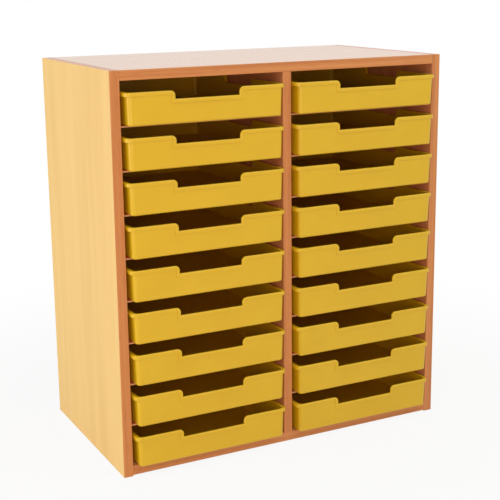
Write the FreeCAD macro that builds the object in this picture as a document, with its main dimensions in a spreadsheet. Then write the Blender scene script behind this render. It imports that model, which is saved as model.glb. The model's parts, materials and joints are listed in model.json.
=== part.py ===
# Classroom mail center: a beech-effect cabinet with two bays, each with a column of sliding yellow trays.
# Frame: +X to the right seen from the front, +Y to the back, +Z up.
# Origin: on the floor, at the middle of the outline that cabinet and trays make together.
import FreeCAD, Part
import Sketcher
import math
import os

# Driving dimensions in millimetres and degrees.
SIZES = {
    # Cabinet boards
    "cabinet_width": 690,
    "cabinet_depth": 380,
    "cabinet_height": 744,
    "board": 18,
    "base_lift": 2,
    "edging": 2,
    "edging_radius": 1,
    # Thin shelves and the grooves that hold them
    "shelf_thickness": 3,
    "shelf_inset": 5,
    "shelf_groove": 5,
    "shelf_end_gap": 0.5,
    "shelf_play": 0.2,
    # Back panel and the groove that runs round it
    "back_thickness": 4,
    "back_inset": 8,
    "back_groove": 8,
    "back_end_gap": 0.5,
    "back_play": 0.2,
    # Loose tongues glued into slots where board ends meet board faces
    "tongue_thickness": 4,
    "tongue_width": 20,
    "tongue_in_face": 8,
    "tongue_margin": 40,
    "tongue_play": 0.1,
    "tongue_end_gap": 0.5,
    # Trays in their slots
    "tray_proud": 17,
    "tray_side_gap": 3,
    "tray_rear_gap": 5,
    "tray_rest_gap": 0.3,
    # Tray moulding
    "tray_height": 58.5,
    "tray_wall": 2.5,
    "tray_floor": 2.5,
    "tray_draft": 1.5,
    "tray_corner": 8,
    "tray_inner_bevel": 5,
    "rim_overhang": 4.5,
    "rim_front": 1,
    "rim_height": 7,
    "rim_top": 2.5,
    "rim_skirt": 1.8,
    "rim_corner": 10,
    "rim_inner_chamfer": 4,
    "step_distance": 120,
    "rear_step_distance": 236,
    "step_run": 8,
    "step_drop": 15,
    "dip_width": 125,
    "dip_depth": 15,
    "dip_corner": 9,
    "dip_lip": 7,
}
TRAYS_PER_BAY = 9

doc = FreeCAD.newDocument("ClassroomMailCenter")
sheet = doc.addObject("Spreadsheet::Sheet", "Sizes")
for row, (alias, value) in enumerate(SIZES.items(), 1):
    sheet.set(f"A{row}", alias)
    sheet.set(f"B{row}", str(value))
    sheet.setAlias(f"B{row}", alias)
doc.recompute()

# Places and sizes that follow from the driving dimensions, as expressions.
FRONT = "(Sizes.tray_proud - Sizes.cabinet_depth) / 2"
BOARD_FRONT = f"({FRONT} + Sizes.edging)"
BOARD_DEPTH = "(Sizes.cabinet_depth - Sizes.edging)"
INNER_WIDTH = "(Sizes.cabinet_width - 2 * Sizes.board)"
BAY_WIDTH = "((Sizes.cabinet_width - 3 * Sizes.board) / 2)"
BAY_CENTRE = f"(({BAY_WIDTH} + Sizes.board) / 2)"
BASE_TOP = "(Sizes.base_lift + Sizes.board)"
TOP_UNDERSIDE = "(Sizes.cabinet_height - Sizes.board)"
TOP_MIDDLE = f"({TOP_UNDERSIDE} + Sizes.board / 2)"
BASE_MIDDLE = "(Sizes.base_lift + Sizes.board / 2)"
BAY_HEIGHT = f"({TOP_UNDERSIDE} - {BASE_TOP})"
PITCH = f"({BAY_HEIGHT} / {TRAYS_PER_BAY})"
BACK_FACE = "(Sizes.cabinet_depth - Sizes.back_inset - Sizes.back_thickness)"
DIVIDER_DEPTH = f"({BACK_FACE} - Sizes.edging)"
RIM_WIDTH = f"({BAY_WIDTH} - 2 * Sizes.tray_side_gap)"
TRAY_LENGTH = f"({BACK_FACE} + Sizes.tray_proud - Sizes.tray_rear_gap)"
LOW_TOP = "(Sizes.tray_height - Sizes.step_drop)"

parts = []


def number(expression):
    """Value of an expression of the sheet's dimensions."""
    return float(sheet.evalExpression(expression))


def arc_between(start, end, radius):
    """Arc from start to end, turning left where the radius is positive and right where it is negative."""
    chord = end - start
    rise = math.sqrt(max(radius * radius - chord.Length ** 2 / 4, 0))
    normal = FreeCAD.Vector(-chord.y, chord.x, 0).normalize()
    side = 1 if radius > 0 else -1
    centre = (start + end) / 2 + normal * rise * side
    middle = centre - normal * abs(radius) * side
    return Part.Arc(start, middle, end)


def origin_feature(body, role):
    """Plane or axis of a body's own origin."""
    return next(feature for feature in body.Origin.OriginFeatures if feature.Role == role)


def outline(body, name, plane_role, corners, lift="0"):
    """Closed sketch through corners given as expressions. A third entry is the radius of the next arc."""
    sketch = body.newObject("Sketcher::SketchObject", name)
    sketch.AttachmentSupport = [(origin_feature(body, plane_role), "")]
    sketch.MapMode = "FlatFace"
    sketch.setExpression("AttachmentOffset.Base.z", lift)
    points = [FreeCAD.Vector(number(corner[0]), number(corner[1]), 0) for corner in corners]
    count = len(corners)
    turns = [number(corner[2]) if len(corner) > 2 else 0 for corner in corners]
    for index, turn in enumerate(turns):
        start = points[index]
        end = points[(index + 1) % count]
        curve = arc_between(start, end, turn) if turn else Part.LineSegment(start, end)
        sketch.addGeometry(curve, False)
    # A clockwise arc is stored from its other end.
    first = [2 if turn < 0 else 1 for turn in turns]
    last = [1 if turn < 0 else 2 for turn in turns]
    for index, corner in enumerate(corners):
        following = (index + 1) % count
        join = Sketcher.Constraint("Coincident", index, last[index], following, first[following])
        sketch.addConstraint(join)
        for kind, axis, value in (("DistanceX", 0, points[index].x), ("DistanceY", 1, points[index].y)):
            place = sketch.addConstraint(Sketcher.Constraint(kind, -1, 1, index, first[index], value))
            sketch.setExpression(f"Constraints[{place}]", corner[axis])
        if turns[index]:
            bend = sketch.addConstraint(Sketcher.Constraint("Radius", index, abs(turns[index])))
            sketch.setExpression(f"Constraints[{bend}]", f"abs({corner[2]})")
    return sketch


def rectangle(left, right, low, high):
    """Corners of a rectangle, as expressions."""
    return [(left, low), (right, low), (right, high), (left, high)]


def extrude(body, kind, sketch, length, flip=False, symmetric=False):
    """Pad or Pocket of a sketch. A pocket that takes nothing away is an error."""
    before = body.Shape.Volume if body.Tip else 0
    feature = body.newObject(f"PartDesign::{kind}", f"{sketch.Name}_{kind}")
    feature.Profile = sketch
    feature.setExpression("Length", length)
    feature.Reversed = flip
    if symmetric:
        feature.SideType = "Symmetric"
    doc.recompute()
    if kind == "Pocket" and body.Shape.Volume > before - 1e-6:
        raise RuntimeError(f"{feature.Name} takes nothing away")
    return feature


def pattern_up(body, features, count, spacing):
    """Repeats features upwards."""
    pattern = body.newObject("PartDesign::LinearPattern", f"{body.Name}_rows")
    pattern.Originals = features
    pattern.Direction = (origin_feature(body, "Z_Axis"), [""])
    pattern.setExpression("Length", f"{spacing} * {count - 1}")
    pattern.Occurrences = count
    body.Tip = pattern
    doc.recompute()


def dress_edges(body, kind, name, wanted, size):
    """Fillet or Chamfer on the edges of a body for which the test is true."""
    base = body.Tip
    names = [f"Edge{index}" for index, edge in enumerate(base.Shape.Edges, 1) if wanted(edge)]
    feature = body.newObject(f"PartDesign::{kind}", name)
    feature.Base = (base, names)
    feature.setExpression("Radius" if kind == "Fillet" else "Size", size)
    doc.recompute()


def place(part, x, y, z):
    """Puts a sub-part at a place given as expressions."""
    for axis, expression in zip("xyz", (x, y, z)):
        part.setExpression(f"Placement.Base.{axis}", expression)


def new_body(label):
    """Body that becomes a sub-part of that name."""
    body = doc.addObject("PartDesign::Body", label)
    body.Label = label
    parts.append(body)
    return body


def is_upright(edge):
    """True for an edge that runs straight up."""
    low, high = edge.BoundBox.ZMin, edge.BoundBox.ZMax
    return high - low > edge.Length - 1e-6


def near(value, *targets):
    """True where a value equals one of the targets."""
    return any(abs(value - target) < 1e-3 for target in targets)


FACE_SLOT = "(Sizes.tongue_in_face + Sizes.tongue_end_gap)"
END_SLOT = "(Sizes.tongue_width - Sizes.tongue_in_face + Sizes.tongue_end_gap)"
SLOT_HALF = "(Sizes.tongue_thickness / 2 + Sizes.tongue_play)"
SLOT_FRONT = "(Sizes.tongue_margin - Sizes.tongue_end_gap)"


def slot_rear(depth):
    """Rear end of a tongue's slot in a board of that depth."""
    return f"({depth} - Sizes.tongue_margin + Sizes.tongue_end_gap)"


def upright_slot(body, name, height, lift, length, flip):
    """Slot for a level tongue, cut along X from a plane at that distance from the board's own origin."""
    low = f"{height} - {SLOT_HALF}"
    high = f"{height} + {SLOT_HALF}"
    corners = rectangle(SLOT_FRONT, slot_rear(BOARD_DEPTH), low, high)
    sketch = outline(body, name, "YZ_Plane", corners, lift)
    extrude(body, "Pocket", sketch, length, flip=flip)


def level_slot(body, name, middle, lift, length, flip):
    """Slot for an upright tongue of the divider, cut along Z from a plane at that height."""
    left = f"{middle} - {SLOT_HALF}"
    right = f"{middle} + {SLOT_HALF}"
    corners = rectangle(left, right, SLOT_FRONT, slot_rear(DIVIDER_DEPTH))
    sketch = outline(body, name, "XY_Plane", corners, lift)
    extrude(body, "Pocket", sketch, length, flip=flip)


SHELF_GROOVE_HEIGHT = "(Sizes.shelf_thickness + Sizes.shelf_play)"
BACK_GROOVE_WIDTH = "(Sizes.back_thickness + 2 * Sizes.back_play)"
BACK_GROOVE_FRONT = f"({BACK_FACE} - Sizes.edging - Sizes.back_play)"


def shelf_groove(body, name, lift):
    """Level groove for the lowest shelf, cut along +X from that distance behind the board's left face."""
    low = f"{BASE_TOP} + {PITCH} - Sizes.shelf_thickness - {body_floor(body)}"
    corners = rectangle("Sizes.shelf_inset", DIVIDER_DEPTH, low, f"{low} + {SHELF_GROOVE_HEIGHT}")
    sketch = outline(body, name, "YZ_Plane", corners, lift)
    return extrude(body, "Pocket", sketch, "Sizes.shelf_groove", flip=True)


def body_floor(body):
    """Height of a board's own origin above the floor."""
    return BASE_TOP if body.Label == "centre_divider" else "0"


def side_panel(label, x, inner_left):
    """Upright side board. inner_left is true where its inner face is the left one."""
    body = new_body(label)
    face = rectangle("0", BOARD_DEPTH, "0", "Sizes.cabinet_height")
    board = outline(body, f"{label}_face", "YZ_Plane", face)
    extrude(body, "Pad", board, "Sizes.board")
    back_lift = "0" if inner_left else "Sizes.board - Sizes.back_groove"
    back_low = f"{BASE_TOP} - Sizes.back_groove"
    back_high = f"{TOP_UNDERSIDE} + Sizes.back_groove"
    back_rear = f"{BACK_GROOVE_FRONT} + {BACK_GROOVE_WIDTH}"
    groove = rectangle(BACK_GROOVE_FRONT, back_rear, back_low, back_high)
    back_slot = outline(body, f"{label}_back_slot", "YZ_Plane", groove, back_lift)
    extrude(body, "Pocket", back_slot, "Sizes.back_groove", flip=True)
    tongue_lift = "0" if inner_left else f"Sizes.board - {FACE_SLOT}"
    upright_slot(body, f"{label}_top_slot", TOP_MIDDLE, tongue_lift, FACE_SLOT, flip=True)
    upright_slot(body, f"{label}_base_slot", BASE_MIDDLE, tongue_lift, FACE_SLOT, flip=True)
    lift = "0" if inner_left else "Sizes.board - Sizes.shelf_groove"
    slot = shelf_groove(body, f"{label}_slot", lift)
    pattern_up(body, [slot], TRAYS_PER_BAY - 1, PITCH)
    place(body, x, BOARD_FRONT, "0")


def level_panel(label, z, groove_low):
    """Top or base board between the sides. groove_low is true where its inner face is the lower one."""
    body = new_body(label)
    half = f"{INNER_WIDTH} / 2"
    board = outline(body, f"{label}_face", "XY_Plane", rectangle(f"-{half}", half, "0", BOARD_DEPTH))
    extrude(body, "Pad", board, "Sizes.board")
    back_rear = f"{BACK_GROOVE_FRONT} + {BACK_GROOVE_WIDTH}"
    groove = rectangle(f"-{half}", half, BACK_GROOVE_FRONT, back_rear)
    back_lift = "0" if groove_low else "Sizes.board - Sizes.back_groove"
    back_slot = outline(body, f"{label}_back_slot", "XY_Plane", groove, back_lift)
    extrude(body, "Pocket", back_slot, "Sizes.back_groove", flip=True)
    upright_slot(body, f"{label}_left_slot", "Sizes.board / 2", f"-{half}", END_SLOT, flip=True)
    upright_slot(body, f"{label}_right_slot", "Sizes.board / 2", half, END_SLOT, flip=False)
    inner_face = "0" if groove_low else "Sizes.board"
    level_slot(body, f"{label}_divider_slot", "0", inner_face, FACE_SLOT, flip=groove_low)
    place(body, "0", BOARD_FRONT, z)


def centre_divider():
    """Upright board between top and base, with shelf grooves in both faces."""
    body = new_body("centre_divider")
    board = outline(body, "divider_face", "YZ_Plane", rectangle("0", DIVIDER_DEPTH, "0", BAY_HEIGHT))
    extrude(body, "Pad", board, "Sizes.board")
    level_slot(body, "divider_base_slot", "Sizes.board / 2", "0", END_SLOT, flip=True)
    level_slot(body, "divider_top_slot", "Sizes.board / 2", BAY_HEIGHT, END_SLOT, flip=False)
    left_slot = shelf_groove(body, "divider_left_slot", "0")
    right_slot = shelf_groove(body, "divider_right_slot", "Sizes.board - Sizes.shelf_groove")
    pattern_up(body, [left_slot, right_slot], TRAYS_PER_BAY - 1, PITCH)
    place(body, "-Sizes.board / 2", BOARD_FRONT, BASE_TOP)


def edging(label, width, height, x, z):
    """Strip on a board's front edge, with its two long front arrises rounded."""
    body = new_body(label)
    face = outline(body, f"{label}_face", "XY_Plane", rectangle("0", width, "0", "Sizes.edging"))
    extrude(body, "Pad", face, height)
    across, up = number(width), number(height)

    def long_front_edge(edge):
        box = edge.BoundBox
        on_front = near(box.YMax, 0)
        return on_front and (near(box.ZLength, up) if up > across else near(box.XLength, across))

    dress_edges(body, "Fillet", f"{label}_round", long_front_edge, "Sizes.edging_radius")
    place(body, x, FRONT, z)


def back_panel():
    """Thin panel held in the groove of the sides, top and base."""
    body = new_body("back_panel")
    reach = "(Sizes.back_groove - Sizes.back_end_gap)"
    half = f"({INNER_WIDTH} / 2 + {reach})"
    face = rectangle(f"-{half}", half, f"-{reach}", f"{BAY_HEIGHT} + {reach}")
    sketch = outline(body, "back_face", "XZ_Plane", face)
    extrude(body, "Pad", sketch, "Sizes.back_thickness", flip=True)
    place(body, "0", f"{FRONT} + {BACK_FACE}", BASE_TOP)


def shelf(label, side, row):
    """Thin shelf with its two edges in the grooves of the boards beside it. Rows count from the top."""
    box = doc.addObject("Part::Box", label)
    box.Label = label
    reach = "(Sizes.shelf_groove - Sizes.shelf_end_gap)"
    box.setExpression("Length", f"{BAY_WIDTH} + 2 * {reach}")
    box.setExpression("Width", f"{DIVIDER_DEPTH} - Sizes.shelf_inset")
    box.setExpression("Height", "Sizes.shelf_thickness")
    left = f"{side} * {BAY_CENTRE} - {BAY_WIDTH} / 2 - {reach}"
    low = f"{BASE_TOP} + {PITCH} * {TRAYS_PER_BAY - row} - Sizes.shelf_thickness"
    place(box, left, f"{BOARD_FRONT} + Sizes.shelf_inset", low)
    parts.append(box)


def tongue(name, sizes, corner):
    """One loose tongue, from its sizes and its low, left, front corner."""
    strip = doc.addObject("Part::Box", name)
    for side, expression in zip(("Length", "Width", "Height"), sizes):
        strip.setExpression(side, expression)
    place(strip, *corner)
    return strip


def carcass_tongues():
    """A tongue in each of the six joints between the boards, as one group."""
    front = f"{BOARD_FRONT} + Sizes.tongue_margin"
    half_thickness = "Sizes.tongue_thickness / 2"
    level = ("Sizes.tongue_width", f"{BOARD_DEPTH} - 2 * Sizes.tongue_margin", "Sizes.tongue_thickness")
    upright = ("Sizes.tongue_thickness", f"{DIVIDER_DEPTH} - 2 * Sizes.tongue_margin", "Sizes.tongue_width")
    outer_end = f"{INNER_WIDTH} / 2 + Sizes.tongue_in_face"
    strips = []
    for name, middle in (("top", TOP_MIDDLE), ("base", BASE_MIDDLE)):
        low = f"{middle} - {half_thickness}"
        left_end = f"-({outer_end})"
        right_end = f"{outer_end} - Sizes.tongue_width"
        strips.append(tongue(f"{name}_left_tongue", level, (left_end, front, low)))
        strips.append(tongue(f"{name}_right_tongue", level, (right_end, front, low)))
    base_end = f"{BASE_TOP} - Sizes.tongue_in_face"
    top_end = f"{TOP_UNDERSIDE} + Sizes.tongue_in_face - Sizes.tongue_width"
    for name, low in (("divider_base_tongue", base_end), ("divider_top_tongue", top_end)):
        strips.append(tongue(name, upright, (f"-{half_thickness}", front, low)))
    group = doc.addObject("Part::Compound", "carcass_tongues")
    group.Label = "carcass_tongues"
    group.Links = strips
    parts.append(group)


# Tray: its own origin is at the middle of the rim's front face, at the height of the underside.
STEP_END = "(Sizes.step_distance + Sizes.step_run)"
REAR_STEP_END = "(Sizes.rear_step_distance + Sizes.step_run)"
BODY_HALF = f"({RIM_WIDTH} / 2 - Sizes.rim_overhang)"
BODY_REAR = f"({TRAY_LENGTH} - Sizes.rim_overhang)"
FRONT_THICKNESS = "(Sizes.rim_front + Sizes.tray_wall)"
DIP_HALF = "Sizes.dip_width / 2"
DIP_BOTTOM = "(Sizes.tray_height - Sizes.dip_depth)"


def stepped_band(thickness):
    """Side view of a band of that thickness under the tray's top edge, which is lower along the middle."""
    top = [
        ("0", "Sizes.tray_height"),
        ("Sizes.step_distance", "Sizes.tray_height"),
        (STEP_END, LOW_TOP),
        ("Sizes.rear_step_distance", LOW_TOP),
        (REAR_STEP_END, "Sizes.tray_height"),
        (TRAY_LENGTH, "Sizes.tray_height"),
    ]
    return top + [(along, f"{up} - {thickness}") for along, up in reversed(top)]


def rises_from(foot):
    """Test for a wall or a corner edge that rises from that height."""
    low = number(foot)

    def test(shape):
        return near(shape.BoundBox.ZMin, low) and shape.BoundBox.ZLength > 1

    return test


def draft_walls(body, name, foot, outside):
    """Draft on the walls that rise from that height. They narrow downwards from the tray's top edge."""
    level = body.newObject("PartDesign::Plane", f"{name}_level")
    level.AttachmentSupport = [(origin_feature(body, "XY_Plane"), "")]
    level.MapMode = "FlatFace"
    level.setExpression("AttachmentOffset.Base.z", "Sizes.tray_height")
    base = body.Tip
    is_wall = rises_from(foot)
    names = [f"Face{index}" for index, face in enumerate(base.Shape.Faces, 1) if is_wall(face)]
    feature = body.newObject("PartDesign::Draft", name)
    feature.Base = (base, names)
    feature.NeutralPlane = (level, [""])
    feature.Reversed = outside
    feature.setExpression("Angle", "Sizes.tray_draft")
    doc.recompute()


def tub(body):
    """Drafted block of the tub with rounded corners, cut down between the steps."""
    plan = rectangle(f"-{BODY_HALF}", BODY_HALF, "Sizes.rim_front", BODY_REAR)
    sketch = outline(body, "tub_outside", "XY_Plane", plan)
    extrude(body, "Pad", sketch, "Sizes.tray_height")
    draft_walls(body, "tub_draft", "0", outside=True)
    dress_edges(body, "Fillet", "tub_corners", rises_from("0"), "Sizes.tray_corner")
    above = "Sizes.tray_height + Sizes.rim_height"
    relief = stepped_band("0")[1:5] + [(REAR_STEP_END, above), ("Sizes.step_distance", above)]
    cut = outline(body, "middle_relief", "YZ_Plane", relief)
    extrude(body, "Pocket", cut, RIM_WIDTH, symmetric=True)


def rim(body):
    """Down-turned rim along the stepped top edge: plate, side and rear skirts, and a front band."""
    plate = outline(body, "rim_plate", "YZ_Plane", stepped_band("Sizes.rim_top"))
    extrude(body, "Pad", plate, RIM_WIDTH, symmetric=True)
    skirt_lift = f"{RIM_WIDTH} / 2 - Sizes.rim_skirt"
    right = outline(body, "right_skirt", "YZ_Plane", stepped_band("Sizes.rim_height"), skirt_lift)
    extrude(body, "Pad", right, "Sizes.rim_skirt")
    left = outline(body, "left_skirt", "YZ_Plane", stepped_band("Sizes.rim_height"), f"-({skirt_lift})")
    extrude(body, "Pad", left, "Sizes.rim_skirt", flip=True)
    half = f"{RIM_WIDTH} / 2"
    end_plan = rectangle(f"-{half}", half, "Sizes.tray_height - Sizes.rim_height", "Sizes.tray_height")
    rear = outline(body, "rear_skirt", "XZ_Plane", end_plan, f"-{TRAY_LENGTH}")
    extrude(body, "Pad", rear, "Sizes.rim_skirt")
    front = outline(body, "front_band", "XZ_Plane", end_plan)
    extrude(body, "Pad", front, FRONT_THICKNESS, flip=True)
    lip_half = f"({DIP_HALF} + Sizes.dip_lip)"
    lip_plan = rectangle(f"-{lip_half}", lip_half, f"{DIP_BOTTOM} - Sizes.dip_lip", "Sizes.tray_height")
    lip = outline(body, "dip_lip", "XZ_Plane", lip_plan)
    extrude(body, "Pad", lip, "Sizes.rim_front + Sizes.tray_wall / 2", flip=True)
    outer = number(half)
    inner = outer - number("Sizes.rim_skirt")
    length = number(TRAY_LENGTH)
    pockets = (number(FRONT_THICKNESS), length - number("Sizes.rim_skirt"))

    def inner_corner(edge):
        box = edge.BoundBox
        return is_upright(edge) and near(abs(box.XMin), inner) and near(box.YMin, *pockets)

    def outer_corner(edge):
        box = edge.BoundBox
        return is_upright(edge) and near(abs(box.XMin), outer) and near(box.YMin, 0, length)

    dress_edges(body, "Chamfer", "rim_inner_corners", inner_corner, "Sizes.rim_inner_chamfer")
    dress_edges(body, "Fillet", "rim_outer_corners", outer_corner, "Sizes.rim_corner")


def tub_hollow(body):
    """Drafted inside of the tub, with bevelled corners behind the rounds of the outside."""
    half = f"({BODY_HALF} - Sizes.tray_wall)"
    rear = f"({BODY_REAR} - Sizes.tray_wall)"
    bevel = "Sizes.tray_inner_bevel"
    plan = [
        (f"-{half}", f"{FRONT_THICKNESS} + {bevel}"),
        (f"-{half} + {bevel}", FRONT_THICKNESS),
        (f"{half} - {bevel}", FRONT_THICKNESS),
        (half, f"{FRONT_THICKNESS} + {bevel}"),
        (half, f"{rear} - {bevel}"),
        (f"{half} - {bevel}", rear),
        (f"-{half} + {bevel}", rear),
        (f"-{half}", f"{rear} - {bevel}"),
    ]
    sketch = outline(body, "tub_inside", "XY_Plane", plan, "Sizes.tray_height")
    extrude(body, "Pocket", sketch, "Sizes.tray_height - Sizes.tray_floor")
    draft_walls(body, "inside_draft", "Sizes.tray_floor", outside=False)


def finger_dip(body):
    """Dip in the front, with rounded shoulders, through band, lip and wall."""
    shoulder = f"({DIP_HALF} + Sizes.dip_corner)"
    arc_foot = "Sizes.tray_height - Sizes.dip_corner"
    above = "Sizes.tray_height + Sizes.rim_height"
    plan = [
        (f"-{shoulder}", "Sizes.tray_height", "-Sizes.dip_corner"),
        (f"-{DIP_HALF}", arc_foot),
        (f"-{DIP_HALF}", DIP_BOTTOM),
        (DIP_HALF, DIP_BOTTOM),
        (DIP_HALF, arc_foot, "-Sizes.dip_corner"),
        (shoulder, "Sizes.tray_height"),
        (shoulder, above),
        (f"-{shoulder}", above),
    ]
    sketch = outline(body, "finger_dip", "XZ_Plane", plan)
    extrude(body, "Pocket", sketch, f"{FRONT_THICKNESS} + Sizes.tray_wall")


def seat_tray(body, side, row):
    """Puts a tray in its slot. Rows count from the top."""
    floor = f"{BASE_TOP} + {PITCH} * {TRAYS_PER_BAY - row} + Sizes.tray_rest_gap"
    place(body, f"{side} * {BAY_CENTRE}", f"{FRONT} - Sizes.tray_proud", floor)


def trays():
    """One moulded tray, and copies of it in all the other slots."""
    first = None
    for side, bay in ((-1, "left"), (1, "right")):
        for row in range(1, TRAYS_PER_BAY + 1):
            body = new_body(f"{bay}_tray_{row}")
            if first is None:
                first = body
                tub(body)
                rim(body)
                tub_hollow(body)
                finger_dip(body)
            else:
                copy = body.newObject("PartDesign::FeatureBase", f"{body.Name}_copy")
                copy.BaseFeature = first
                body.Tip = copy
            seat_tray(body, side, row)


def cabinet():
    """Boards, their edgings, the back panel, shelves and tongues."""
    side_panel("left_side_panel", "-Sizes.cabinet_width / 2", inner_left=False)
    side_panel("right_side_panel", "Sizes.cabinet_width / 2 - Sizes.board", inner_left=True)
    level_panel("top_panel", TOP_UNDERSIDE, groove_low=True)
    level_panel("base_panel", "Sizes.base_lift", groove_low=False)
    centre_divider()
    back_panel()
    right_face = "Sizes.cabinet_width / 2 - Sizes.board"
    edging("left_side_edging", "Sizes.board", "Sizes.cabinet_height", "-Sizes.cabinet_width / 2", "0")
    edging("right_side_edging", "Sizes.board", "Sizes.cabinet_height", right_face, "0")
    edging("top_edging", INNER_WIDTH, "Sizes.board", f"-{INNER_WIDTH} / 2", TOP_UNDERSIDE)
    edging("base_edging", INNER_WIDTH, "Sizes.board", f"-{INNER_WIDTH} / 2", "Sizes.base_lift")
    edging("divider_edging", "Sizes.board", BAY_HEIGHT, "-Sizes.board / 2", BASE_TOP)
    for side, bay in ((-1, "left"), (1, "right")):
        for row in range(1, TRAYS_PER_BAY):
            shelf(f"{bay}_shelf_{row}", side, row)
    carcass_tongues()


cabinet()
trays()
doc.recompute()

for feature in doc.Objects:
    if "Invalid" in feature.State or "Error" in feature.State:
        raise RuntimeError(f"{feature.Name} failed: {feature.State}")
for part in parts:
    if part.Shape.isNull() or not part.Shape.isValid():
        raise RuntimeError(f"{part.Label} has no valid shape")

os.makedirs("parts", exist_ok=True)
for part in parts:
    part.Shape.exportStep(f"parts/{part.Label}.step")
print(f"{len(parts)} sub-parts written")
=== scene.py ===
import json
import math
import bmesh
import bpy
from mathutils import Matrix, Vector

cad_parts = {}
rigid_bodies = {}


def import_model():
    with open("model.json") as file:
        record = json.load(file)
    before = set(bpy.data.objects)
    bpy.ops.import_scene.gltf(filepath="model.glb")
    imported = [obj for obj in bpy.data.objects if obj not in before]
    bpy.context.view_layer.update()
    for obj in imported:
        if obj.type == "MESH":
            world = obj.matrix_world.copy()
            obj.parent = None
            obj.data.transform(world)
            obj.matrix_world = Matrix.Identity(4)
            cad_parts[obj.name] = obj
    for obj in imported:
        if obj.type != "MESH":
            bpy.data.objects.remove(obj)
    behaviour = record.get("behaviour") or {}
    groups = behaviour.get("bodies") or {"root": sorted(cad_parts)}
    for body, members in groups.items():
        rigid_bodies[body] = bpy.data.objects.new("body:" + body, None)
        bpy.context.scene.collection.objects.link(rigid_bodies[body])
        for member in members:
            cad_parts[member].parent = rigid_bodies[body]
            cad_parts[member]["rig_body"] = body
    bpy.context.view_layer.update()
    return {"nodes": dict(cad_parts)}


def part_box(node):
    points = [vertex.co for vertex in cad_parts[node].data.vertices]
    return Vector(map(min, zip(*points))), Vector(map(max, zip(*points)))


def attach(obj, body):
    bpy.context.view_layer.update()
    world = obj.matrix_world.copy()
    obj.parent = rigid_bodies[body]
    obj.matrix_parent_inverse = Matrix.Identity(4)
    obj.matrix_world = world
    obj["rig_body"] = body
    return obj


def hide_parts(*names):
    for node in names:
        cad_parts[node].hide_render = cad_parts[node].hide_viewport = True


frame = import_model()
nodes = frame["nodes"]
MM = 0.001

SHELVES = sorted(name for name in nodes if "_shelf_" in name)
TRAYS = sorted(name for name in nodes if "_tray_" in name)

# Side panels, with the way along X that each outer face points.
SIDES = {"left_side_panel": -1, "right_side_panel": 1}

# Sizes of the patterns. Flecks, fibres and mould marks are finer on the real thing, about 1 mm and less, and
# are drawn coarser so that they show at this size.
GRAIN_LENGTH = 500 * MM
FLECK_WIDTH = 2.5 * MM
FLECK_LENGTH = 25 * MM
BLOTCH = 45 * MM
FIBRE = 2 * MM
FLOW_MARK = 60 * MM
MOULD_MARK = 3 * MM

# Easing of the sharp edges.
BOARD_ARRIS = 0.4 * MM
EDGING_ARRIS = 0.35 * MM
SHELF_ARRIS = 0.3 * MM
ARRIS_SEGMENTS = 2

# Rounds of the tray moulding, each a size and a number of segments.
STEP_ROUND = 2.5 * MM, 3
CORNER_ROUND = 2.5 * MM, 3
EDGE_ROUND = 0.4 * MM, 2
FLOOR_ROUND = 3 * MM, 4
FOOT_ROUND = 3.5 * MM, 5
RIM_ROLL = 2 * MM, 5
TRAY_FLOOR = 2.5 * MM
SAME_PLACE = 0.05 * MM


def linear(code):
    """Linear RGBA of an sRGB hex colour."""
    channels = [int(code[i:i + 2], 16) / 255 for i in (1, 3, 5)]
    return [c / 12.92 if c <= 0.04045 else ((c + 0.055) / 1.055) ** 2.4 for c in channels] + [1.0]


def add(tree, kind, links=None, **settings):
    """Adds a node. Settings are its properties, links its inputs: a value, or the output of another node."""
    node = tree.nodes.new(kind)
    for key, value in settings.items():
        setattr(node, key, value)
    for key, value in (links or {}).items():
        if isinstance(value, bpy.types.NodeSocket):
            tree.links.new(value, node.inputs[key])
        else:
            node.inputs[key].default_value = value
    return node


def new_material(name):
    """Empty material and its node tree."""
    material = bpy.data.materials.new(name)
    material.use_nodes = True
    material.node_tree.nodes.clear()
    return material, material.node_tree


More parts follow.
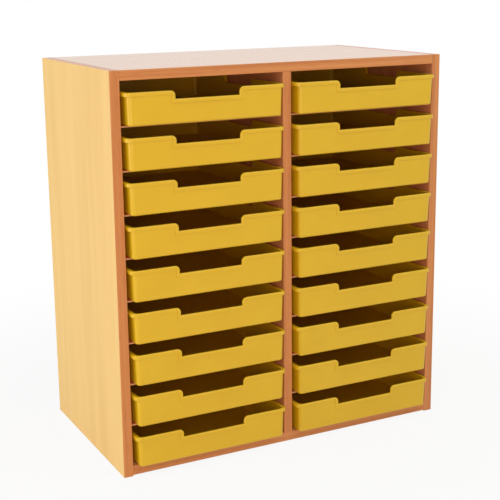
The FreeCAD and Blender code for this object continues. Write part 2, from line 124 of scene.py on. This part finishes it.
def beech_laminate(name, along, light, dark, roughness, band, lacquer=0.0):
    """Printed beech with a satin lacquer: even, warm wood with a faint straight grain along the board, short
    darker flecks, and a soft gloss that turns pale at a low angle, most of all under a coat of lacquer."""
    material, tree = new_material(name)
    place = add(tree, "ShaderNodeTexCoord")
    band_scale = [1 / band] * 3
    band_scale[along] = 1 / GRAIN_LENGTH
    fleck_scale = [1 / FLECK_WIDTH] * 3
    fleck_scale[along] = 1 / FLECK_LENGTH
    band_place = add(tree, "ShaderNodeMapping", {"Vector": place.outputs["Object"], "Scale": band_scale})
    fleck_place = add(tree, "ShaderNodeMapping", {"Vector": place.outputs["Object"], "Scale": fleck_scale})
    bands = add(tree, "ShaderNodeTexNoise", {"Vector": band_place.outputs[0], "Scale": 1.0, "Detail": 3.0})
    flecks = add(tree, "ShaderNodeTexNoise", {"Vector": fleck_place.outputs[0], "Scale": 1.0, "Detail": 2.0})
    fleck_mask = add(tree, "ShaderNodeMapRange", {
        "Value": flecks.outputs["Fac"], "From Min": 0.55, "From Max": 0.75, "To Min": 0.0, "To Max": 0.35})
    band_mask = add(tree, "ShaderNodeMapRange", {
        "Value": bands.outputs["Fac"], "From Min": 0.3, "From Max": 0.7, "To Min": 0.0, "To Max": 0.8})
    depth = add(tree, "ShaderNodeMath", {0: fleck_mask.outputs[0], 1: band_mask.outputs[0]},
                operation="ADD", use_clamp=True)
    colour = add(tree, "ShaderNodeMix", {
        "Factor": depth.outputs[0], "A": linear(light), "B": linear(dark)}, data_type="RGBA")
    gloss = add(tree, "ShaderNodeMapRange", {
        "Value": flecks.outputs["Fac"], "To Min": roughness - 0.02, "To Max": roughness + 0.02})
    relief = add(tree, "ShaderNodeBump", {
        "Height": flecks.outputs["Fac"], "Strength": 0.02, "Distance": 0.05 * MM})
    shader = add(tree, "ShaderNodeBsdfPrincipled", {
        "Base Color": colour.outputs["Result"], "Roughness": gloss.outputs[0], "IOR": 1.5,
        "Coat Weight": lacquer, "Coat Roughness": 0.2, "Normal": relief.outputs[0]})
    add(tree, "ShaderNodeOutputMaterial", {"Surface": shader.outputs[0]})
    return material


def pressed_board(name, light, dark):
    """Faced hardboard of the thin shelves and the back, and raw hardwood: smooth, a little blotchy and nearly
    matt, with fine fibres."""
    material, tree = new_material(name)
    place = add(tree, "ShaderNodeTexCoord")
    blotches = add(tree, "ShaderNodeTexNoise", {
        "Vector": place.outputs["Object"], "Scale": 1 / BLOTCH, "Detail": 3.0})
    fibres = add(tree, "ShaderNodeTexNoise", {
        "Vector": place.outputs["Object"], "Scale": 1 / FIBRE, "Detail": 2.0})
    colour = add(tree, "ShaderNodeMix", {
        "Factor": blotches.outputs["Fac"], "A": linear(light), "B": linear(dark)}, data_type="RGBA")
    gloss = add(tree, "ShaderNodeMapRange", {"Value": fibres.outputs["Fac"], "To Min": 0.5, "To Max": 0.7})
    relief = add(tree, "ShaderNodeBump", {
        "Height": fibres.outputs["Fac"], "Strength": 0.1, "Distance": 0.1 * MM})
    shader = add(tree, "ShaderNodeBsdfPrincipled", {
        "Base Color": colour.outputs["Result"], "Roughness": gloss.outputs[0], "IOR": 1.5,
        "Normal": relief.outputs[0]})
    add(tree, "ShaderNodeOutputMaterial", {"Surface": shader.outputs[0]})
    return material


def moulded_polypropylene(name, light, dark):
    """Injection-moulded polypropylene: one strong yellow through and through, waxy satin gloss, and a very
    slight waviness that breaks up long highlights."""
    material, tree = new_material(name)
    place = add(tree, "ShaderNodeTexCoord")
    flow = add(tree, "ShaderNodeTexNoise", {
        "Vector": place.outputs["Object"], "Scale": 1 / FLOW_MARK, "Detail": 2.0})
    skin = add(tree, "ShaderNodeTexNoise", {
        "Vector": place.outputs["Object"], "Scale": 1 / MOULD_MARK, "Detail": 2.0})
    colour = add(tree, "ShaderNodeMix", {
        "Factor": flow.outputs["Fac"], "A": linear(light), "B": linear(dark)}, data_type="RGBA")
    gloss = add(tree, "ShaderNodeMapRange", {"Value": skin.outputs["Fac"], "To Min": 0.28, "To Max": 0.38})
    relief = add(tree, "ShaderNodeBump", {
        "Height": flow.outputs["Fac"], "Strength": 0.15, "Distance": 0.4 * MM})
    shader = add(tree, "ShaderNodeBsdfPrincipled", {
        "Base Color": colour.outputs["Result"], "Roughness": gloss.outputs[0], "IOR": 1.49,
        "Normal": relief.outputs[0]})
    add(tree, "ShaderNodeOutputMaterial", {"Surface": shader.outputs[0]})
    return material


# Beech grain runs up the upright pieces, along axis 2, and from side to side on the level ones, along axis 0.
# The outer sides' laminate is the same beech as the upright one, painted paler and yellower as it looks under
# strong light: painted light, not a different laminate.
painted_lit_beech = beech_laminate("beech_laminate_sides_painted_lit", 2, "#E6C27A", "#DDB76E", 0.65, 30 * MM)
upright_beech = beech_laminate("beech_laminate_upright", 2, "#D6946C", "#CA865E", 0.32, 20 * MM)
level_beech = beech_laminate("beech_laminate_level", 0, "#DEA676", "#D29868", 0.26, 20 * MM, lacquer=0.45)
upright_edging = beech_laminate("beech_edging_upright", 2, "#D08C4E", "#B67038", 0.42, 6 * MM)
level_edging = beech_laminate("beech_edging_level", 0, "#D08C4E", "#B67038", 0.42, 6 * MM)
shelf_board = pressed_board("faced_hardboard_shelf", "#EA8660", "#DE7A54")
shelf_edge = pressed_board("sealed_hardboard_edge", "#D8A070", "#CC9464")
back_board = pressed_board("faced_hardboard_back", "#D8AC74", "#CCA068")
raw_hardwood = pressed_board("raw_hardwood_tongue", "#D8B684", "#C8A270")
yellow_plastic = moulded_polypropylene("moulded_polypropylene_yellow", "#D9B61A", "#D1AC12")

BOARD_FINISH = {"centre_divider": upright_beech, "top_panel": level_beech, "base_panel": level_beech}
EDGING_FINISH = {
    "left_side_edging": upright_edging, "right_side_edging": upright_edging, "divider_edging": upright_edging,
    "top_edging": level_edging, "base_edging": level_edging}

# Flat nodes that nothing needs to round: the back panel in its groove, and the tongues inside the joints.
KEPT_NODE_FINISH = {"back_panel": back_board, "carcass_tongues": raw_hardwood}


def copied_skin(node):
    """Editable copy of a solid's skin, with its facets joined and flat faces made whole."""
    shape = bmesh.new()
    shape.from_mesh(nodes[node].data)
    bmesh.ops.remove_doubles(shape, verts=shape.verts, dist=0.002 * MM)
    bmesh.ops.dissolve_limit(shape, angle_limit=math.radians(1), verts=shape.verts, edges=shape.edges)
    return shape


def rounded(shape, edges, size, segments):
    """Rounds edges of a skin."""
    bmesh.ops.bevel(shape, geom=edges, offset=size, offset_type="OFFSET", segments=segments, profile=0.5,
                    affect="EDGES", material=-1)


def sharp_edges(shape):
    """Edges where two faces meet at a clear angle."""
    return [edge for edge in shape.edges if edge.calc_face_angle(0) > math.radians(35)]


def finished(shape, node, name, materials):
    """Turns a skin into a piece that stands in for its solid and rides the same body."""
    mesh = bpy.data.meshes.new(name)
    for face in shape.faces:
        face.smooth = True
    shape.to_mesh(mesh)
    shape.free()
    for material in materials:
        mesh.materials.append(material)
    piece = bpy.data.objects.new(name, mesh)
    bpy.context.scene.collection.objects.link(piece)
    weighted = piece.modifiers.new("flat_faces_first", "WEIGHTED_NORMAL")
    weighted.weight = 100
    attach(piece, nodes[node]["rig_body"])
    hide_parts(node)


def softened(node, name, material, arris):
    """Board or strip with its sharp edges eased by that arris."""
    shape = copied_skin(node)
    rounded(shape, sharp_edges(shape), arris, ARRIS_SEGMENTS)
    finished(shape, node, name, [material])


def side_board(node, outward):
    """Side panel whose outer face gets a paler, yellower copy of the beech laminate: painted light, the look
    of the wood under the strong key light, put on the outer faces of both sides.
    """
    shape = copied_skin(node)
    rounded(shape, sharp_edges(shape), BOARD_ARRIS, ARRIS_SEGMENTS)
    for face in shape.faces:
        # Outward faces take the paler copy of the laminate, which is painted light.
        face.material_index = int(face.normal.x * outward > 0.5)
    finished(shape, node, f"{node}_board", [upright_beech, painted_lit_beech])


def thin_shelf(node):
    """Thin shelf with a paler sealed front edge."""
    shape = copied_skin(node)
    rounded(shape, sharp_edges(shape), SHELF_ARRIS, ARRIS_SEGMENTS)
    for face in shape.faces:
        face.material_index = int(face.normal.y < -0.5)
    finished(shape, node, f"{node}_sheet", [shelf_board, shelf_edge])


def moulded_tray(node):
    """Tray with the rounds of a moulding: soft inside corners and foot, rolled rim and dip, eased edges."""
    shape = copied_skin(node)
    low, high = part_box(node)
    middle = (low + high) / 2
    floor_top = low.z + TRAY_FLOOR

    def way(edge):
        """Edge as a vector."""
        return edge.verts[1].co - edge.verts[0].co

    def centre(edge):
        """Middle of an edge."""
        return (edge.verts[0].co + edge.verts[1].co) / 2

    def faces_out(face, edge):
        """How far a face beside an edge looks away from the tray's middle, or towards it where negative."""
        return (centre(edge) - middle).xy.dot(face.normal.xy)

    def at_height(edge, height):
        """Level edge at that height."""
        return all(abs(vertex.co.z - height) < SAME_PLACE for vertex in edge.verts)

    def across_step(edge):
        """Top or bottom edge of a slope by which the side walls' height changes."""
        return (abs(way(edge).x) > 0.9 * way(edge).length
                and 50 < math.degrees(edge.calc_face_angle(0)) < 75)

    def inside_upright(edge):
        """Upright corner between two inside walls."""
        return (abs(way(edge).z) >= 20 * MM and edge.calc_face_angle(0) >= math.radians(20)
                and all(faces_out(face, edge) < 0 for face in edge.link_faces))

    def on_roll(edge):
        """Outer edge of the rim, or an edge of the dip on the tray's front."""
        if not edge.is_convex:
            return False
        upper = any(face.normal.z > 0.4 for face in edge.link_faces)
        outer = any(abs(face.normal.z) < 0.3 and faces_out(face, edge) > 0 for face in edge.link_faces)
        front = (any(face.normal.y < -0.99 for face in edge.link_faces)
                 and abs(centre(edge).y - low.y) < SAME_PLACE)
        beside_dip = any(abs(face.normal.y) < 0.1 and face.normal.x * (centre(edge).x - middle.x) < -0.5 * MM
                         for face in edge.link_faces)
        return (upper and outer) or (front and beside_dip)

    def under_rim(edge):
        """Hidden edge under the rim's skirt, which stays sharp."""
        return (any(face.normal.z < -0.4 for face in edge.link_faces) and centre(edge).z > middle.z
                and any(faces_out(face, edge) < -0.1 * MM for face in edge.link_faces))

    def plain(edge):
        """Edge that gets no round of its own."""
        return not (on_roll(edge) or under_rim(edge) or at_height(edge, floor_top) or at_height(edge, low.z))

    rounded(shape, [edge for edge in shape.edges if across_step(edge)], *STEP_ROUND)
    rounded(shape, [edge for edge in shape.edges if inside_upright(edge)], *CORNER_ROUND)
    rounded(shape, [edge for edge in sharp_edges(shape) if plain(edge)], *EDGE_ROUND)
    rounded(shape, [edge for edge in sharp_edges(shape) if at_height(edge, floor_top)], *FLOOR_ROUND)
    rounded(shape, [edge for edge in sharp_edges(shape) if at_height(edge, low.z)], *FOOT_ROUND)
    rounded(shape, [edge for edge in sharp_edges(shape) if on_roll(edge)], *RIM_ROLL)
    finished(shape, node, f"{node}_moulding", [yellow_plastic])


for side, outward in SIDES.items():
    side_board(side, outward)
for board, finish in BOARD_FINISH.items():
    softened(board, f"{board}_board", finish, BOARD_ARRIS)
for strip, finish in EDGING_FINISH.items():
    softened(strip, f"{strip}_strip", finish, EDGING_ARRIS)
for shelf in SHELVES:
    thin_shelf(shelf)
for tray in TRAYS:
    moulded_tray(tray)
for name, finish in KEPT_NODE_FINISH.items():
    nodes[name].data.materials.clear()
    nodes[name].data.materials.append(finish)


def pale_to_camera(tree):
    """One for rays from the camera, straight or by gloss or glass, and nought for light that bounces."""
    rays = add(tree, "ShaderNodeLightPath")
    seen = add(tree, "ShaderNodeMath", {0: rays.outputs["Is Camera Ray"], 1: rays.outputs["Is Glossy Ray"]},
               operation="MAXIMUM")
    seen = add(tree, "ShaderNodeMath", {0: seen.outputs[0], 1: rays.outputs["Is Transmission Ray"]},
               operation="MAXIMUM")
    return seen.outputs[0]


def studio_floor():
    """Wide pale floor that keeps the object's shadow and turns plain white further out."""
    half_width = 30
    shadow_reach, white_from = 0.45, 1.3
    whiteness = 0.9
    mesh = bpy.data.meshes.new("studio_floor")
    shape = bmesh.new()
    bmesh.ops.create_grid(shape, x_segments=1, y_segments=1, size=half_width)
    shape.to_mesh(mesh)
    shape.free()
    floor = bpy.data.objects.new("studio_floor", mesh)
    bpy.context.scene.collection.objects.link(floor)
    material, tree = new_material("matt_white_paper")
    place = add(tree, "ShaderNodeTexCoord")
    reach = add(tree, "ShaderNodeVectorMath", {0: place.outputs["Object"]}, operation="LENGTH")
    far = add(tree, "ShaderNodeMapRange", {
        "Value": reach.outputs["Value"], "From Min": shadow_reach, "From Max": white_from},
        interpolation_type="SMOOTHSTEP")
    paper = add(tree, "ShaderNodeBsdfDiffuse", {"Color": linear("#D4D4D4")})
    white = add(tree, "ShaderNodeEmission", {"Strength": 1.0})
    lifted = add(tree, "ShaderNodeMixShader", {0: whiteness, 1: paper.outputs[0], 2: white.outputs[0]})
    spread = add(tree, "ShaderNodeMixShader", {0: far.outputs[0], 1: lifted.outputs[0], 2: white.outputs[0]})
    shown = add(tree, "ShaderNodeMixShader", {
        0: pale_to_camera(tree), 1: paper.outputs[0], 2: spread.outputs[0]})
    add(tree, "ShaderNodeOutputMaterial", {"Surface": shown.outputs[0]})
    mesh.materials.append(material)


def studio_air():
    """World that looks white and gives soft light from all round."""
    world = bpy.data.worlds.new("studio_air")
    bpy.context.scene.world = world
    world.use_nodes = True
    tree = world.node_tree
    tree.nodes.clear()
    white = add(tree, "ShaderNodeBackground", {"Color": linear("#FFFFFF"), "Strength": 1.0})
    soft = add(tree, "ShaderNodeBackground", {"Color": linear("#FFFFFF"), "Strength": 0.57})
    shown = add(tree, "ShaderNodeMixShader", {
        0: pale_to_camera(tree), 1: soft.outputs[0], 2: white.outputs[0]})
    add(tree, "ShaderNodeOutputWorld", {"Surface": shown.outputs[0]})


def softbox(name, position, target, size, power, colour="#FFFFFF"):
    """Square studio softbox that points at a target."""
    lamp = bpy.data.lights.new(name, "AREA")
    lamp.shape = "SQUARE"
    lamp.size = size
    lamp.energy = power
    lamp.color = linear(colour)[:3]
    box = bpy.data.objects.new(name, lamp)
    box.location = position
    box.rotation_euler = (Vector(target) - Vector(position)).to_track_quat("-Z", "Y").to_euler()
    bpy.context.scene.collection.objects.link(box)


def photograph_camera():
    """Camera at the photograph's viewing angle, from a fit of the cabinet's corners in a 500 by 500 frame.
    Its place is counted from the cabinet's front."""
    frame_pixels, focal_pixels = 500, 1114.2
    cabinet_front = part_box("left_side_edging")[0].y
    place = Vector((-1.0038, -1.7951 + cabinet_front, 0.8978))
    turn, tilt, lean = (math.radians(angle) for angle in (-27.235, 12.588, -0.652))
    back = Vector((math.sin(turn) * math.cos(tilt), -math.cos(turn) * math.cos(tilt), math.sin(tilt)))
    right = Vector((math.cos(turn), math.sin(turn), 0))
    up = back.cross(right)
    leaned_right = right * math.cos(lean) + up * math.sin(lean)
    leaned_up = up * math.cos(lean) - right * math.sin(lean)
    lens = bpy.data.cameras.new("photograph_camera")
    lens.sensor_width = 36
    lens.lens = focal_pixels * lens.sensor_width / frame_pixels
    lens.shift_y = -0.05
    camera = bpy.data.objects.new("photograph_camera", lens)
    camera.matrix_world = Matrix((
        (leaned_right.x, leaned_up.x, back.x, place.x),
        (leaned_right.y, leaned_up.y, back.y, place.y),
        (leaned_right.z, leaned_up.z, back.z, place.z),
        (0, 0, 0, 1),
    ))
    bpy.context.scene.collection.objects.link(camera)
    bpy.context.scene.camera = camera


studio_floor()
studio_air()
softbox("left_key", (-2.4, 0.2, 0.8), (0, 0, 0.35), size=1.6, power=24)
softbox("high_right_fill", (1.3, -1.5, 1.9), (0, 0, 0.3), size=1.6, power=11)
softbox("warm_camera_fill", (-1.0, -1.9, 0.6), (0, 0, 0.34), size=0.7, power=14, colour="#FFCFA0")
softbox("high_front_fill", (0.3, -1.0, 2.5), (0, 0, 0.4), size=1.4, power=8)
softbox("low_rear_fill", (1.7, 1.6, 0.36), (0, 0, 0.36), size=0.7, power=6)
photograph_camera()
bpy.context.scene.view_settings.view_transform = "Standard"
